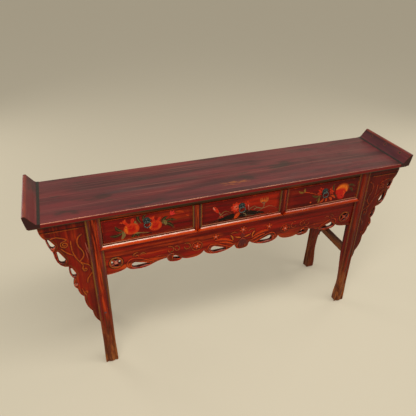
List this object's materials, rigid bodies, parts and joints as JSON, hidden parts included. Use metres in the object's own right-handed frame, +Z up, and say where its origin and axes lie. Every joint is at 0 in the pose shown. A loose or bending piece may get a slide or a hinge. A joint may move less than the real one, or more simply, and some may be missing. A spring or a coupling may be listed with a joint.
{
  "type": "altar table",
  "caption": "Long narrow altar table: everted flange top, sliding drawers with iron ring pulls, carved pierced apron and spandrels, splayed moulded legs.",
  "frame": {"origin": "on the floor under the middle of the top", "axes": "+X along the length to the viewer's right, +Y to the back, +Z up; the drawers open towards -Y"},
  "size_m": [1.716, 0.3448, 0.871],
  "materials": {
    "top_lacquer": "worn satin lacquer",
    "red_lacquer": "satin lacquer",
    "deep_lacquer": "satin lacquer",
    "drawer_lacquer": "painted satin lacquer",
    "bare_wood": "unfinished",
    "iron": "worn forged iron"
  },
  "bodies": {
    "frame": {"top_board": "top_lacquer", "flange_left": "top_lacquer", "flange_right": "top_lacquer", "top_batten_left": "bare_wood", "top_batten_center": "bare_wood", "top_batten_right": "bare_wood", "leg_front_left": "red_lacquer", "leg_front_right": "red_lacquer", "leg_back_left": "red_lacquer", "leg_back_right": "red_lacquer", "side_stretcher_left": "red_lacquer", "side_stretcher_right": "red_lacquer", "side_rail_upper_left": "deep_lacquer", "side_rail_upper_right": "deep_lacquer", "side_rail_lower_left": "deep_lacquer", "side_rail_lower_right": "deep_lacquer", "side_panel_left": "deep_lacquer", "side_panel_right": "deep_lacquer", "front_top_rail": "deep_lacquer", "front_bead_rail": "red_lacquer", "divider_left": "red_lacquer", "divider_right": "red_lacquer", "back_top_rail": "deep_lacquer", "back_bottom_rail": "deep_lacquer", "back_panel": "deep_lacquer", "runner_left": "bare_wood", "runner_mid_left": "bare_wood", "runner_mid_right": "bare_wood", "runner_right": "bare_wood", "apron_front": "red_lacquer", "apron_back": "deep_lacquer", "spandrel_front_left": "red_lacquer", "spandrel_front_right": "red_lacquer", "spandrel_back_left": "deep_lacquer", "spandrel_back_right": "deep_lacquer"},
    "drawer_left": {"drawer_left_front": "drawer_lacquer", "drawer_left_side_l": "bare_wood", "drawer_left_side_r": "bare_wood", "drawer_left_back": "bare_wood", "drawer_left_bottom": "bare_wood", "pull_left_plate": "iron", "pull_left_staple": "iron"},
    "drawer_center": {"drawer_center_front": "drawer_lacquer", "drawer_center_side_l": "bare_wood", "drawer_center_side_r": "bare_wood", "drawer_center_back": "bare_wood", "drawer_center_bottom": "bare_wood", "pull_center_plate": "iron", "pull_center_staple": "iron"},
    "drawer_right": {"drawer_right_front": "drawer_lacquer", "drawer_right_side_l": "bare_wood", "drawer_right_side_r": "bare_wood", "drawer_right_back": "bare_wood", "drawer_right_bottom": "bare_wood", "pull_right_plate": "iron", "pull_right_staple": "iron"},
    "ring_left": {"pull_left_ring": "iron"},
    "ring_center": {"pull_center_ring": "iron"},
    "ring_right": {"pull_right_ring": "iron"}
  },
  "joints": [
    {"name": "drawer_left_slide", "type": "slide", "parent": "frame", "child": "drawer_left", "axis": [0, -1, 0], "range_m": [0, 0.2]},
    {"name": "drawer_center_slide", "type": "slide", "parent": "frame", "child": "drawer_center", "axis": [0, -1, 0], "range_m": [0, 0.2]},
    {"name": "drawer_right_slide", "type": "slide", "parent": "frame", "child": "drawer_right", "axis": [0, -1, 0], "range_m": [0, 0.2]},
    {"name": "ring_left_swing", "type": "hinge", "parent": "drawer_left", "child": "ring_left", "pos_m": [-0.414, -0.1611, 0.7556], "axis": [-1, 0, 0], "range_deg": [0, 150]},
    {"name": "ring_center_swing", "type": "hinge", "parent": "drawer_center", "child": "ring_center", "pos_m": [-0.002, -0.1611, 0.7446], "axis": [-1, 0, 0], "range_deg": [0, 150]},
    {"name": "ring_right_swing", "type": "hinge", "parent": "drawer_right", "child": "ring_right", "pos_m": [0.412, -0.1611, 0.7426], "axis": [-1, 0, 0], "range_deg": [0, 150]}
  ]
}
